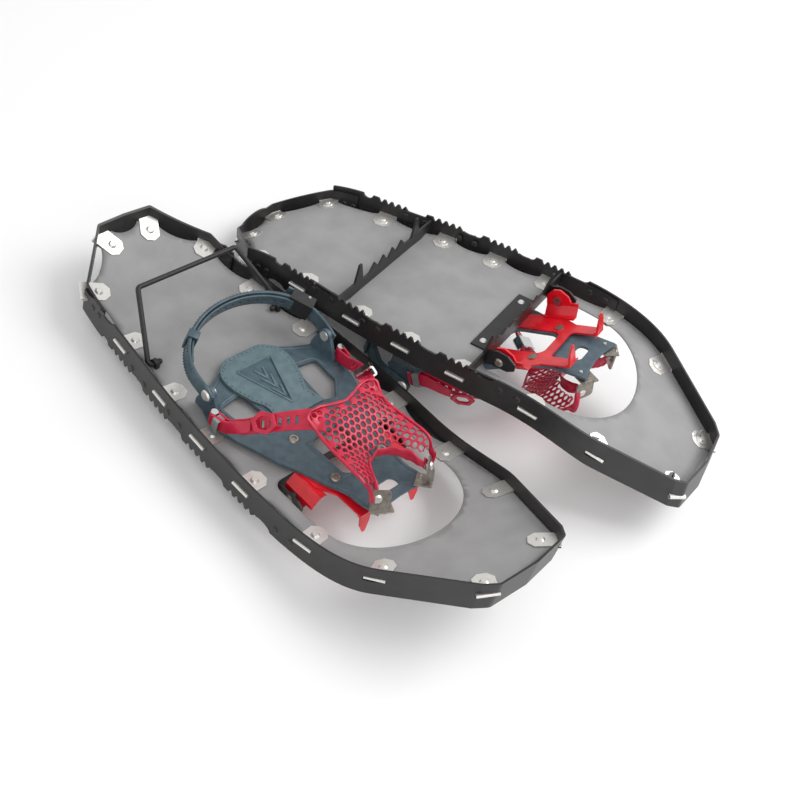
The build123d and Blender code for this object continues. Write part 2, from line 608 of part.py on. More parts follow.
with BuildPart() as net_buckle:
    (x, y, z), along, across = net_arm[1]
    with BuildSketch(Plane((-x, y, z), x_dir=(-across[0], across[1], across[2]),
                           z_dir=(-along[0], along[1], along[2])).offset(-7)):
        RectangleRounded(20, 10.5, 2.5)
        Rectangle(15.8, 6.6, mode=Mode.SUBTRACT)
    extrude(amount=14)

with BuildPart() as strap_keeper:
    with BuildSketch(Plane.XZ.offset(3.5)):
        with Locations((post_x, post_middle)):
            keeper_width = 2 * (post_radius + 0.1 + arm_wall)
            RectangleRounded(keeper_width + 2.4, arm_height + 1.8, 0.8)
            Rectangle(keeper_width + 0.6, arm_height + 0.2, mode=Mode.SUBTRACT)
    extrude(amount=-7)

with BuildPart() as tower_rivets:
    for side in (1, -1):
        with Locations(Location((side * (tower_inner - 1.5), strap_y, strap_z), (0, side * 90, 0))):
            Cylinder(5, 1.5, align=(Align.CENTER, Align.CENTER, Align.MIN))
            Cylinder(tower_shank, strap_half + 0.4 - tower_inner + 1.5, align=(Align.CENTER, Align.CENTER, Align.MIN))
        with Locations(Location((side * (strap_half + 0.35), strap_y, strap_z), (0, side * 90, 0))):
            Cone(5.6, 4.4, 1.5, align=(Align.CENTER, Align.CENTER, Align.MIN))

# ---------------------------------------------------------------- heel strap, drawn flat about its rivets
with BuildPart() as flat_strap:
    with BuildSketch(Plane.XY.offset(-strap_height / 2)):
        with Locations((0, -strap_straight)):
            Ellipse(strap_half, strap_depth - strap_straight)
            Ellipse(strap_half - strap_wall, strap_depth - strap_straight - strap_wall, mode=Mode.SUBTRACT)
            with Locations((0, 100)):
                Rectangle(300, 200, mode=Mode.SUBTRACT)
        with Locations((strap_half - strap_wall / 2, -strap_straight), (strap_wall / 2 - strap_half, -strap_straight)):
            Rectangle(strap_wall, strap_straight + 20, align=(Align.CENTER, Align.MIN))
    extrude(amount=strap_height)
    # trimmed ends
    with BuildSketch(Plane.YZ.offset(-100)):
        Polygon((-110, -9), (-110, 9), (3, 9), (9.4, 2.6), (9.4, -2.6), (3, -9), align=None)
    extrude(amount=200, mode=Mode.INTERSECT)
    Cylinder(tower_shank + running, 200, rotation=(0, 90, 0), mode=Mode.SUBTRACT)


def on_strap(turn):
    """Plane on the strap's middle line: X along it to the heel, Z outwards; turn is from the left leg."""
    across, deep = strap_half - strap_wall / 2, strap_depth - strap_straight - strap_wall / 2
    along = Vector(across * sin(radians(turn)), -deep * cos(radians(turn)), 0)
    return Plane((-across * cos(radians(turn)), -strap_straight - deep * sin(radians(turn)), 0), x_dir=along,
                 z_dir=(along.Y, -along.X, 0))


buckle_plane = on_strap(24)
cam_pin = (-5.0, 6.6)                        # along the strap and outwards from it
with BuildPart() as flat_buckle_frame:
    with Locations(buckle_plane.location):
        with Locations((0, 9.2, 2.0), (0, -9.2, 2.0)):
            Box(24, 2.0, 13.6)
        with Locations((0, 0, -4.0)):
            Box(24, 18.4, 1.6)
        with Locations((-10.8, 0, 3.6), (9.5, 0, 3.2)):
            Box(2.4, 18.4, 1.4)
        with Locations((cam_pin[0], 0, cam_pin[1])):
            Cylinder(1.5, 30, rotation=(90, 0, 0), mode=Mode.SUBTRACT)

with BuildPart() as flat_buckle_pin:
    with Locations(buckle_plane.location):
        with Locations((cam_pin[0], 0, cam_pin[1])):
            Cylinder(1.5, 21.2, rotation=(90, 0, 0))

with BuildPart() as flat_buckle_cam:
    with Locations(buckle_plane.location):
        with Locations((cam_pin[0], 0, cam_pin[1])):
            Cylinder(3.9, 15.6, rotation=(90, 0, 0))
        with Locations((cam_pin[0] + 11, 0, cam_pin[1] + 1.7)):
            Box(23, 15.6, 2.2)
        with Locations((cam_pin[0] + 20.5, 0, cam_pin[1] + 3.0)):
            Box(4, 12, 2.6)
        with Locations((cam_pin[0], 0, cam_pin[1])):
            Cylinder(1.5 + running, 30, rotation=(90, 0, 0), mode=Mode.SUBTRACT)

with BuildPart() as flat_keeper:
    with Locations(on_strap(136).location):
        Box(9, 18.4, 7.0)
        Box(9, 15.4, 4.2, mode=Mode.SUBTRACT)

# ---------------------------------------------------------------- the two shoes


def swung(y, z, angle):
    """Turn about a cross pivot at (y, z), the tail side up."""
    return Location((0, y, z), (-angle, 0, 0))


frame_pieces = {"side_frame": side_frame, "tail_frame": tail_frame, "blade_rivets": blade_rivet_heads,
                "deck": deck, "deck_clips": deck_clips, "clip_rivets": clip_rivets, "clip_washers": clip_washers,
                "front_crossmember": front_crossmember, "rear_crossmember": rear_crossmember,
                "deck_rivets": deck_rivets, "hinge_pins": hinge_pins, "hinge_bushes": hinge_bushes,
                "lifter_pivots": lifter_pivots}
binding_pieces = {"binding_base": binding_base, "crampon": crampon, "crampon_rivets": crampon_rivets,
                  "toe_brackets": toe_brackets, "toe_bracket_rivets": toe_bracket_rivets,
                  "forefoot_net": forefoot_net, "net_posts": net_posts, "net_buckle": net_buckle,
                  "net_keeper": strap_keeper, "heel_pad": heel_pad, "tower_rivets": tower_rivets}
strap_pieces = {"heel_strap": flat_strap, "heel_buckle_frame": flat_buckle_frame, "heel_buckle_pin": flat_buckle_pin,
                "heel_buckle_cam": flat_buckle_cam, "heel_keeper": flat_keeper}
lifter_pieces = {"heel_lifter": flat_lifter}

os.makedirs("parts", exist_ok=True)
for shoe, place, binding, strap, lifter in (
        ("left", pair_shift, left_binding, left_strap, left_lifter),
        ("right", pair_shift * right_place, right_binding, right_strap, right_lifter)):
    hinged = place * swung(hinge_y, hinge_z, binding) * Location((0, -hinge_y, -hinge_z))
    groups = ((frame_pieces, place), (binding_pieces, hinged),
              (strap_pieces, hinged * swung(strap_y, strap_z, strap)),
              (lifter_pieces, place * swung(lifter_y, lifter_z, lifter)))
    for pieces, location in groups:
        for piece_name, piece in pieces.items():
            # the right shoe is the left one's mirror image
            body = piece.part if shoe == "left" else mirror(piece.part, about=Plane.YZ)
            body = body.moved(location)
            body.label = shoe + "_" + piece_name
            export_step(body, "parts/" + body.label + ".step")
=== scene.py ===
import math
import bmesh
import bpy
import numpy as np
from mathutils import Matrix, Vector
from mathutils.bvhtree import BVHTree
from mathutils.geometry import delaunay_2d_cdt


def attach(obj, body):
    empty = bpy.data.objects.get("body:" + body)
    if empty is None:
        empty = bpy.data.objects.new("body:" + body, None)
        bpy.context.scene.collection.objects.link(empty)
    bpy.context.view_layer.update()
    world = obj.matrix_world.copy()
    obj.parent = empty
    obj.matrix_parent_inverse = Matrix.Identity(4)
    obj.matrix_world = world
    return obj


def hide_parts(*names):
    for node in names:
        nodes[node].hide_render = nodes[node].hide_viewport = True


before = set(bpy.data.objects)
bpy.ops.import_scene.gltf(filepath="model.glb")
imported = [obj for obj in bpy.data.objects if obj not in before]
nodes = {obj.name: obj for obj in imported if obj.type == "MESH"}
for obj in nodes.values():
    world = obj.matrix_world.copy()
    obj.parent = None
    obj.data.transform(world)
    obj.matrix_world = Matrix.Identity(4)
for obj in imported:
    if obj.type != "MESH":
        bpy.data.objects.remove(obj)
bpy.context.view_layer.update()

SHOES = ("left", "right")


# ---- Side and tail blades, crossmembers: aluminium strip, bent and toothed, then black powder coated.
# The coat is even and satin, with a fine orange peel.
def linear(code):
    """Linear RGBA from an sRGB hex code."""
    parts = [int(code[i:i + 2], 16) / 255 for i in (1, 3, 5)]
    return tuple(p / 12.92 if p <= 0.04045 else ((p + 0.055) / 1.055) ** 2.4 for p in parts) + (1.0,)


def finish(name, color, metallic, roughness):
    """A new material with its Principled shader's main values."""
    material = bpy.data.materials.new(name)
    material.use_nodes = True
    shader = material.node_tree.nodes["Principled BSDF"]
    shader.inputs["Base Color"].default_value = linear(color)
    shader.inputs["Metallic"].default_value = metallic
    shader.inputs["Roughness"].default_value = roughness
    return material, shader


def node(material, kind, settings=(), links=()):
    """Adds a node; settings are (name, value) pairs and links (own input, other node, its output)."""
    made = material.node_tree.nodes.new(kind)
    for key, value in settings:
        if isinstance(key, int) or key in made.inputs:
            made.inputs[key].default_value = value
        else:
            setattr(made, key, value)
    for own, other, output in links:
        material.node_tree.links.new(other.outputs[output], made.inputs[own])
    return made


def two_tone(material, shader, factor, output, dark, light):
    """Base colour between two hex colours, driven by a factor."""
    mix = node(material, "ShaderNodeMix", [("data_type", "RGBA")])
    mix.inputs[6].default_value, mix.inputs[7].default_value = linear(dark), linear(light)
    material.node_tree.links.new(factor.outputs[output], mix.inputs[0])
    material.node_tree.links.new(mix.outputs[2], shader.inputs["Base Color"])


def worn_noise(material, coords, per_metre, low, high, detail=4.0):
    """Noise of a real size, stretched to 0..1 between two levels."""
    noise = node(material, "ShaderNodeTexNoise", [("Scale", per_metre), ("Detail", detail)],
                 [("Vector", coords, "Object")])
    return node(material, "ShaderNodeMapRange", [("From Min", low), ("From Max", high)],
                [("Value", noise, "Fac")])


def bumped(material, shader, source, output, depth, strength=1.0):
    """Bump of a real depth in metres."""
    bump = node(material, "ShaderNodeBump", [("Distance", depth), ("Strength", strength)],
                [("Height", source, output)])
    material.node_tree.links.new(bump.outputs["Normal"], shader.inputs["Normal"])


powder_black, shader = finish("Black powder coat", "#2b292b", 0.0, 0.42)
coords = node(powder_black, "ShaderNodeTexCoord")
peel_per_metre = 1 / 0.0012                   # orange peel, 1.2 mm
two_tone(powder_black, shader, worn_noise(powder_black, coords, 60, 0.35, 0.7), "Result",
         "#191819", "#232122")
bumped(powder_black, shader, worn_noise(powder_black, coords, peel_per_metre, 0.3, 0.7), "Result", 0.00003)
shader.inputs["Coat Weight"].default_value = 0.15
shader.inputs["Coat Roughness"].default_value = 0.35
for shoe in SHOES:
    for part in ("side_frame", "tail_frame", "blade_rivets", "front_crossmember", "rear_crossmember"):
        nodes[f"{shoe}_{part}"].data.materials.clear()
        nodes[f"{shoe}_{part}"].data.materials.append(powder_black)

# ---- Decks: coated woven polyester, stretched between the clips, mid grey with a soft sheen.
# Real threads lie about 0.5 mm apart; they are drawn coarser, 1.6 mm, so that the weave still reads.
deck_cloth, shader = finish("Coated woven polyester", "#8b898b", 0.0, 0.55)
coords = node(deck_cloth, "ShaderNodeTexCoord")
thread_spacing = 0.0016
weave = [node(deck_cloth, "ShaderNodeTexWave",
              [("wave_type", "BANDS"), ("bands_direction", axis), ("Scale", 1 / thread_spacing / 3.18),
               ("Distortion", 0.6), ("Detail", 1.0)], [("Vector", coords, "Object")]) for axis in ("X", "Y")]
crossed = node(deck_cloth, "ShaderNodeMath", [("operation", "MULTIPLY")],
               [(0, weave[0], "Fac"), (1, weave[1], "Fac")])
mottle = worn_noise(deck_cloth, coords, 35, 0.3, 0.7, 6.0)
speckle = node(deck_cloth, "ShaderNodeMath", [("operation", "MULTIPLY_ADD"), (1, 0.35)],
               [(0, crossed, 0), (2, mottle, "Result")])
two_tone(deck_cloth, shader, speckle, 0, "#8c8b8c", "#989797")
bumped(deck_cloth, shader, crossed, 0, 0.00012, 0.6)
shader.inputs["Sheen Weight"].default_value = 0.25
shader.inputs["Sheen Roughness"].default_value = 0.4
for shoe in SHOES:
    nodes[f"{shoe}_deck"].data.materials.clear()
    nodes[f"{shoe}_deck"].data.materials.append(deck_cloth)

# ---- Clips, rivets, washers: pressed stainless sheet, lightly brushed and tumbled.
# Bright, a little warm, with faint scratches.
stainless, shader = finish("Tumbled stainless steel", "#d6d3cb", 0.7, 0.3)
coords = node(stainless, "ShaderNodeTexCoord")
two_tone(stainless, shader, worn_noise(stainless, coords, 400, 0.3, 0.75), "Result", "#dfddd8", "#ebe9e4")
bumped(stainless, shader, worn_noise(stainless, coords, 2500, 0.3, 0.7), "Result", 0.00002)
for shoe in SHOES:
    for part in ("deck_clips", "clip_rivets", "clip_washers", "deck_rivets", "toe_bracket_rivets",
                 "tower_rivets"):
        nodes[f"{shoe}_{part}"].data.materials.clear()
        nodes[f"{shoe}_{part}"].data.materials.append(stainless)

# ---- Toe brackets, crampon rivets and pins: satin rolled steel, greyer than the clips.
rolled_steel, shader = finish("Satin rolled steel", "#9d968e", 0.9, 0.38)
coords = node(rolled_steel, "ShaderNodeTexCoord")
two_tone(rolled_steel, shader, worn_noise(rolled_steel, coords, 250, 0.3, 0.7), "Result",
         "#8a837b", "#b1aaa1")
bumped(rolled_steel, shader, worn_noise(rolled_steel, coords, 2500, 0.3, 0.7), "Result", 0.00002)
for shoe in SHOES:
    for part in ("toe_brackets", "crampon_rivets", "hinge_pins", "heel_buckle_pin"):
        nodes[f"{shoe}_{part}"].data.materials.clear()
        nodes[f"{shoe}_{part}"].data.materials.append(rolled_steel)

# ---- Net posts and net buckle: chromed wire and pressing, mirror bright.
chrome, shader = finish("Polished chrome plate", "#e2e2e2", 1.0, 0.12)
coords = node(chrome, "ShaderNodeTexCoord")
bumped(chrome, shader, worn_noise(chrome, coords, 900, 0.3, 0.7), "Result", 0.00001)
for shoe in SHOES:
    for part in ("net_posts", "net_buckle"):
        nodes[f"{shoe}_{part}"].data.materials.clear()
        nodes[f"{shoe}_{part}"].data.materials.append(chrome)

# ---- Lifter bail, its blocks, bushes and buckle frame: black wire coating and glass-filled nylon.
# Matte black with a fine spark-eroded grain.
nylon_black, shader = finish("Black moulded nylon", "#1d1c1d", 0.0, 0.5)
coords = node(nylon_black, "ShaderNodeTexCoord")
two_tone(nylon_black, shader, worn_noise(nylon_black, coords, 300, 0.3, 0.7), "Result", "#171617", "#262526")
bumped(nylon_black, shader, worn_noise(nylon_black, coords, 1600, 0.3, 0.7), "Result", 0.00004)
for shoe in SHOES:
    for part in ("heel_lifter", "lifter_pivots", "hinge_bushes", "heel_buckle_frame"):
        nodes[f"{shoe}_{part}"].data.materials.clear()
        nodes[f"{shoe}_{part}"].data.materials.append(nylon_black)

# ---- Crampons: laser-cut steel, folded, with a glossy red powder coat.
crampon_red, shader = finish("Red powder coat", "#dd0a1c", 0.0, 0.3)
coords = node(crampon_red, "ShaderNodeTexCoord")
two_tone(crampon_red, shader, worn_noise(crampon_red, coords, 80, 0.3, 0.7), "Result", "#c8061a", "#ea1226")
bumped(crampon_red, shader, worn_noise(crampon_red, coords, 900, 0.3, 0.7), "Result", 0.00003)
shader.inputs["Coat Weight"].default_value = 0.5
shader.inputs["Coat Roughness"].default_value = 0.15
for shoe in SHOES:
    nodes[f"{shoe}_crampon"].data.materials.clear()
    nodes[f"{shoe}_crampon"].data.materials.append(crampon_red)

# ---- Binding base, heel pad and buckle cam: moulded thermoplastic elastomer, blue grey.
# Fine moulding grain and a soft, waxy sheen; the pad is a lighter teal.
def moulded(name, dark, light, roughness):
    """Grained moulded plastic between two shades."""
    material, shader = finish(name, dark, 0.0, roughness)
    coords = node(material, "ShaderNodeTexCoord")
    two_tone(material, shader, worn_noise(material, coords, 120, 0.3, 0.7), "Result", dark, light)
    bumped(material, shader, worn_noise(material, coords, 1800, 0.3, 0.7), "Result", 0.00005)
    return material, shader


base_plastic = moulded("Blue grey moulded elastomer", "#43545e", "#536670", 0.4)[0]
pad_plastic = moulded("Teal grey moulded elastomer", "#566c73", "#667c82", 0.46)[0]
# the pad's recess floor: the pad's own teal, darkened as painted shade of the recess
recess_painted_shade_plastic = moulded("Teal moulded elastomer with painted recess shade", "#40545e", "#4d636c", 0.5)[0]
strap_plastic = moulded("Slate moulded urethane", "#364852", "#475b63", 0.36)[0]
clear_plastic, shader = moulded("Smoky clear nylon", "#8d9696", "#a5adad", 0.3)
shader.inputs["Transmission Weight"].default_value = 0.35
for shoe in SHOES:
    for part, material in (("binding_base", base_plastic), ("heel_buckle_cam", base_plastic),
                           ("heel_pad", pad_plastic), ("net_keeper", clear_plastic)):
        nodes[f"{shoe}_{part}"].data.materials.clear()
        nodes[f"{shoe}_{part}"].data.materials.append(material)

# ---- Forefoot nets: crimson urethane moulded in one piece. A field of hexagonal holes fills a saddle
# inside a plain raised rim; the rear arms turn upright, wrap round the posts and fold back on themselves.
net_crimson, shader = moulded("Crimson moulded urethane", "#b40f33", "#ca1a41", 0.38)
shader.inputs["Coat Weight"].default_value = 0.2
standing = Matrix.Translation((0.12019, -0.033365, 0.0345)) @ Matrix.Scale(0.001, 4)


def turn(angle, axis):
    return Matrix.Rotation(math.radians(angle), 4, axis)


# the second shoe is the mirror image, turned over, its binding swung down from the deck
mirrored_shoe = Matrix.Scale(-1, 4, (1, 0, 0))
frame_over = (standing @ Matrix.Translation((-211.9, 15.8, 42.3)) @ turn(11.93, "Z") @ turn(8.8, "X")
              @ turn(180, "Y"))
hinge = Matrix.Translation((0, 89, -9))
turned_over = frame_over @ hinge @ turn(-21.5, "X") @ hinge.inverted() @ mirrored_shoe
PLACES = {"left": standing, "right": turned_over}


def both_shoes(mesh_in_mm, part, body, material, modifiers=(), replaced=(), places=PLACES):
    """Puts one mesh, drawn in the shoe's own millimetres, on each shoe as a piece of that body."""
    for shoe in SHOES:
        copy = mesh_in_mm.copy()
        bmesh.ops.transform(copy, matrix=places[shoe], verts=copy.verts)
        if shoe == "right":
            bmesh.ops.reverse_faces(copy, faces=copy.faces)
        mesh = bpy.data.meshes.new(f"{shoe}_{part}")
        copy.to_mesh(mesh)
        copy.free()
        for polygon in mesh.polygons:
            polygon.use_smooth = True
        piece = bpy.data.objects.new(f"{shoe}_{part}", mesh)
        bpy.context.scene.collection.objects.link(piece)
        mesh.materials.append(material)
        for kind, settings in modifiers:
            modifier = piece.modifiers.new(kind.title(), kind)
            for key, value in settings:
                setattr(modifier, key, value)
        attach(piece, f"{shoe}_{body}")
        for name in replaced:
            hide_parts(f"{shoe}_{name}")
    mesh_in_mm.free()


def rubber_wall(millimetres, offset):
    """Modifiers that give a moulded skin its wall and rounded edges."""
    return [("SOLIDIFY", [("thickness", millimetres / 1000), ("offset", offset)]),
            ("SUBSURF", [("levels", 2), ("render_levels", 2)])]


saddle = bmesh.new()
saddle.from_mesh(nodes["left_forefoot_net"].data)
saddle_faces = BVHTree.FromBMesh(saddle)
saddle.free()


def net_height(x, y):
    """Height of the saddle's upper face, read off the standing shoe's net."""
    spot = saddle_faces.ray_cast(standing @ Vector((x, y, 120)), Vector((0, 0, -1)))[0]
    return (standing.inverted() @ spot).z if spot else None


half_net = [(0, 70), (12, 67), (24, 62.5), (36, 61), (43, 66), (40, 78), (41, 92), (42.5, 110), (43.5, 128),
            (43, 142), (40.5, 152), (32, 153), (27.5, 146), (23.5, 134), (15, 122), (0, 116)]
outline = half_net + [(-x, y) for x, y in reversed(half_net[1:-1])]


def inside(x, y):
    """How far inside the net's outline a point is, in mm; negative is outside."""
    nearest, odd = 1e9, False
    for (ax, ay), (bx, by) in zip(outline, outline[1:] + outline[:1]):
        along = Vector((bx - ax, by - ay))
        t = max(0.0, min(1.0, ((x - ax) * along.x + (y - ay) * along.y) / along.length_squared))
        nearest = min(nearest, math.hypot(x - ax - t * along.x, y - ay - t * along.y))
        if (ay > y) != (by > y) and x < ax + (y - ay) * (bx - ax) / (by - ay):
            odd = not odd
    return nearest if odd else -nearest


net = bmesh.new()
hex_pitch, hole_radius = 6.6, 2.75
cell_radius = hex_pitch / math.sqrt(3)
rim_margin, last_hole = 3.4, 141              # plain rubber round the holes, and beyond this y
for row in range(-2, 20):
    for column in range(-8, 9):
        x = (column + 0.5 * (row % 2)) * hex_pitch
        y = 60 + row * hex_pitch * math.sqrt(3) / 2
        depth = inside(x, y)
        if depth < -1.2:
            continue
        place = Matrix.Translation((x, y, 0))
        cell = bmesh.ops.create_circle(net, segments=6, radius=cell_radius, matrix=place)["verts"]
        edges = {e for v in cell for e in v.link_edges}
        if depth > rim_margin and y < last_hole:
            hole = bmesh.ops.create_circle(net, segments=6, radius=hole_radius, matrix=place)["verts"]
            edges |= {e for v in hole for e in v.link_edges}
            bmesh.ops.bridge_loops(net, edges=list(edges))
        else:
            bmesh.ops.contextual_create(net, geom=list(edges))
bmesh.ops.remove_doubles(net, verts=net.verts, dist=0.02)
bmesh.ops.recalc_face_normals(net, faces=net.faces)
for face in net.faces:
    if face.normal.z < 0:
        face.normal_flip()
stray = []
for vertex in net.verts:
    height = net_height(vertex.co.x, vertex.co.y)
    if height is None:
        stray.append(vertex)
    else:
        vertex.co.z = height - 0.4
bmesh.ops.delete(net, geom=stray, context="VERTS")
both_shoes(net, "net_field", "binding", net_crimson,
           rubber_wall(2.4, -1.0), ["forefoot_net"])

# the raised rim follows the outline
rim = bmesh.new()
loops = []
for shift in (0.6, -2.4):
    ring = []
    count = len(outline)
    for i, (x, y) in enumerate(outline):
        before, after = Vector(outline[i - 1]), Vector(outline[(i + 1) % count])
        along = (after - before).normalized()
        ring.append(rim.verts.new((x + along.y * -shift, y - along.x * -shift, 0)))
    loops += [rim.edges.new((ring[i - 1], ring[i])) for i in range(count)]
bmesh.ops.bridge_loops(rim, edges=loops)
bmesh.ops.subdivide_edges(rim, edges=rim.edges, cuts=2, use_grid_fill=True)
bmesh.ops.recalc_face_normals(rim, faces=rim.faces)
if sum(face.normal.z for face in rim.faces) < 0:
    bmesh.ops.reverse_faces(rim, faces=rim.faces)
last = 50.0
for vertex in rim.verts:
    x, y = vertex.co.x, vertex.co.y
    height = net_height(x, y) or net_height(x * 0.95, 105 + (y - 105) * 0.95)
    vertex.co.z = (height if height else last) + 0.2
    last = vertex.co.z
both_shoes(rim, "net_rim", "binding", net_crimson,
           rubber_wall(3, -1.0))

# rear arms: one band each side, twisting from the saddle's corner to the post and back
def slotted_band(target, sections, cuts, cell=1.3, strips=10):
    """A strip through (middle, direction across, width), left open where cuts(along, across) is true."""
    middles = np.array([section[0] for section in sections], float)
    run = np.concatenate(([0], np.cumsum(np.linalg.norm(np.diff(middles, axis=0), axis=1))))
    stations = np.linspace(0, run[-1], int(run[-1] / cell) + 1)
    table = np.array([list(m) + list(a) + [w] for m, a, w in sections], float)
    smooth = np.array([np.interp(stations, run, column) for column in table.T]).T
    for _ in range(6):
        smooth[1:-1] = (smooth[:-2] + 2 * smooth[1:-1] + smooth[2:]) / 4
    rows = []
    for values in smooth:
        across = Vector(values[3:6]).normalized()
        rows.append([target.verts.new(Vector(values[:3]) + across * (values[6] * (i / strips - 0.5)))
                     for i in range(strips + 1)])
    for i in range(len(rows) - 1):
        for j in range(strips):
            if not cuts((stations[i] + stations[i + 1]) / 2, (j + 0.5) / strips - 0.5):
                target.faces.new((rows[i][j], rows[i][j + 1], rows[i + 1][j + 1], rows[i + 1][j]))


post = Vector((80.2, -8.0, 13.5))
round_post = 3.45                             # from the post's middle to the middle of the band
arm_path = [((30, 74, 58.5), (0.62, 0.75, -0.1), 24), ((38, 63, 54.5), (0.6, 0.72, -0.25), 21),
            ((49, 51, 47.5), (0.5, 0.68, -0.5), 18), ((61, 37, 37.5), (0.38, 0.55, -0.74), 17),
            ((71, 23, 25.5), (0.22, 0.35, -0.9), 16), ((76.2, 8, 15.2), (0.05, 0.08, -1), 15),
            ((76.8, -8, 13.5), (0, 0, -1), 14.5)]
wrap = [post + turn(angle, "Z") @ Vector((round_post, 0, 0)) for angle in (210, 240, 270, 300, 330)]
doubled = [((80.3, 8, 15.6), (0.05, 0.08, -1), 14.5), ((75.0, 23.5, 27.5), (0.22, 0.35, -0.9), 13),
           ((71.5, 29.0, 32.8), (0.3, 0.45, -0.83), 11)]
through_buckle = [((30, 74, 58.5), (0.62, 0.75, -0.1), 24), ((38, 63, 54.5), (0.62, 0.72, 0.05), 19),
                  ((49, 51, 47.5), (0.6, 0.6, 0.42), 15), ((61, 37, 37.5), (0.45, 0.30, 0.85), 14.5),
                  ((71, 23, 25.5), (0.25, 0.15, 0.95), 14.5), ((76.2, 8, 15.2), (0.05, 0.02, 1), 14.5),
                  ((76.8, -8, 13.5), (0, 0, 1), 14.5)]
short_end = [((80.4, 4, 14), (0, 0, 1), 14.5)]
for side, part, lie, up, folded in ((1, "net_arm_post", arm_path, -1, doubled),
                                    (-1, "net_arm_buckle", through_buckle, 1, short_end)):
    arm = bmesh.new()
    path = lie + [(m, (0, 0, up), 14.5) for m in wrap + [post + Vector((3.5, 0, 0))]] + folded
    slotted_band(arm, [((side * m[0], m[1], m[2]), (side * a[0], a[1], a[2]), w) for m, a, w in path],
                 lambda along, across: 24 < along < 82 and along % 7.8 < 3.0 and abs(across) < 0.16)
    bmesh.ops.recalc_face_normals(arm, faces=arm.faces)
    both_shoes(arm, part, "binding", net_crimson,
               rubber_wall(2.7, 0.0))

# hexagonal finger loop at the end of the folded arm
loop = bmesh.new()
outer = bmesh.ops.create_circle(loop, segments=6, radius=11.0)["verts"]
inner = bmesh.ops.create_circle(loop, segments=6, radius=6.6)["verts"]
ring_edges = list({e for v in outer + inner for e in v.link_edges})
bmesh.ops.bridge_loops(loop, edges=ring_edges)
raised = bmesh.ops.extrude_face_region(loop, geom=loop.faces[:])["geom"]
bmesh.ops.translate(loop, vec=(0, 0, 2.8), verts=[g for g in raised if isinstance(g, bmesh.types.BMVert)])
bmesh.ops.recalc_face_normals(loop, faces=loop.faces)
bmesh.ops.bevel(loop, geom=loop.edges[:], offset=0.7, segments=2, profile=0.5, affect="EDGES", material=-1)
loop_along = Vector((-0.52, 0.6, 0.6)).normalized()
loop_across = Vector((0.33, 0.5, -0.8)).cross(loop_along).cross(loop_along).normalized()
loop_turn = Matrix((loop_along, loop_across, loop_along.cross(loop_across))).transposed().to_4x4()
loop_place = Matrix.Translation((64.6, 37.0, 41.0)) @ loop_turn @ Matrix.Diagonal((1.2, 1, 1, 1))
bmesh.ops.transform(loop, matrix=loop_place, verts=loop.verts)
both_shoes(loop, "net_finger_loop", "binding", net_crimson)

# ---- Heel straps: slate urethane bows that swing on the tower rivets. A row of holes for the cam buckle
# runs along the middle, small ribs line both edges, and the free end lies inside, held by a keeper.
tower = Matrix.Translation((0, -24, 27))
strap_places = {"left": standing @ tower @ turn(-13.1, "X"), "right": turned_over @ tower @ turn(33.0, "X")}
bow_half, bow_deep, leg = 76.8, 57.5, 16.0


def on_bow(degrees, inset=0.0):
    """Point on the bow's middle line, or inside it, from the buckle's leg round the heel."""
    angle = math.radians(degrees)
    return Vector(((inset - bow_half) * math.cos(angle), -leg - (bow_deep - inset) * math.sin(angle), 0))


def out_of_bow(degrees):
    """Outward direction there, and the turn whose Z points that way and Y up."""
    angle = math.radians(degrees)
    outward = Vector((-bow_deep * math.cos(angle), -bow_half * math.sin(angle), 0)).normalized()
    up = Vector((0, 0, 1))
    return outward, Matrix((outward.cross(up), up, outward)).transposed().to_4x4()


bow = [((-bow_half, 7.5 - step, 0), (0, 0, 1), 13) for step in (0, 4)]
bow += [((-bow_half, -1, 0), (0, 0, 1), 16.5), ((-bow_half, -leg, 0), (0, 0, 1), 17)]
bow += [(on_bow(degrees), (0, 0, 1), 17) for degrees in range(6, 180, 6)]
bow += [((bow_half, -leg, 0), (0, 0, 1), 17), ((bow_half, -1, 0), (0, 0, 1), 16.5)]
bow += [((bow_half, 3.5 + step, 0), (0, 0, 1), 13) for step in (0, 4)]
strap = bmesh.new()
slotted_band(strap, bow, lambda along, across: 62 < along < 150 and along % 9.1 < 3.9 and abs(across) < 0.14,
             strips=12)
bmesh.ops.recalc_face_normals(strap, faces=strap.faces)
both_shoes(strap, "heel_strap_band", "heel_strap", strap_plastic,
           rubber_wall(3, 0.0), ["heel_strap"], strap_places)
tail = bmesh.new()
free_end = [(on_bow(degrees, 3.3), (0, 0, 1), 13.5 if degrees < 160 else 8) for degrees in range(30, 168, 6)]
slotted_band(tail, free_end,
             lambda along, across: along > 8 and along % 9.1 < 3.9 and abs(across) < 0.14, strips=10)
bmesh.ops.recalc_face_normals(tail, faces=tail.faces)
both_shoes(tail, "heel_strap_tail", "heel_strap", strap_plastic,
           rubber_wall(2.4, 0.0), places=strap_places)
keeper = bmesh.new()
keeper_place = Matrix.Translation(on_bow(136)) @ out_of_bow(136)[1]
for middle, size in (((0, 0, 2.9), (9, 21, 1.6)), ((0, 0, -6.2), (9, 21, 1.6)),
                     ((0, 9.8, -1.6), (9, 1.6, 9.4)), ((0, -9.8, -1.6), (9, 1.6, 9.4))):
    place = keeper_place @ Matrix.Translation(middle) @ Matrix.Diagonal((*size, 1))
    bmesh.ops.create_cube(keeper, size=1, matrix=place)
bmesh.ops.bevel(keeper, geom=keeper.edges[:], offset=0.5, segments=2, profile=0.5, affect="EDGES",
                material=-1)
both_shoes(keeper, "heel_strap_keeper", "heel_strap", strap_plastic, replaced=["heel_keeper"],
           places=strap_places)
ribs = bmesh.new()
rib_count = 58
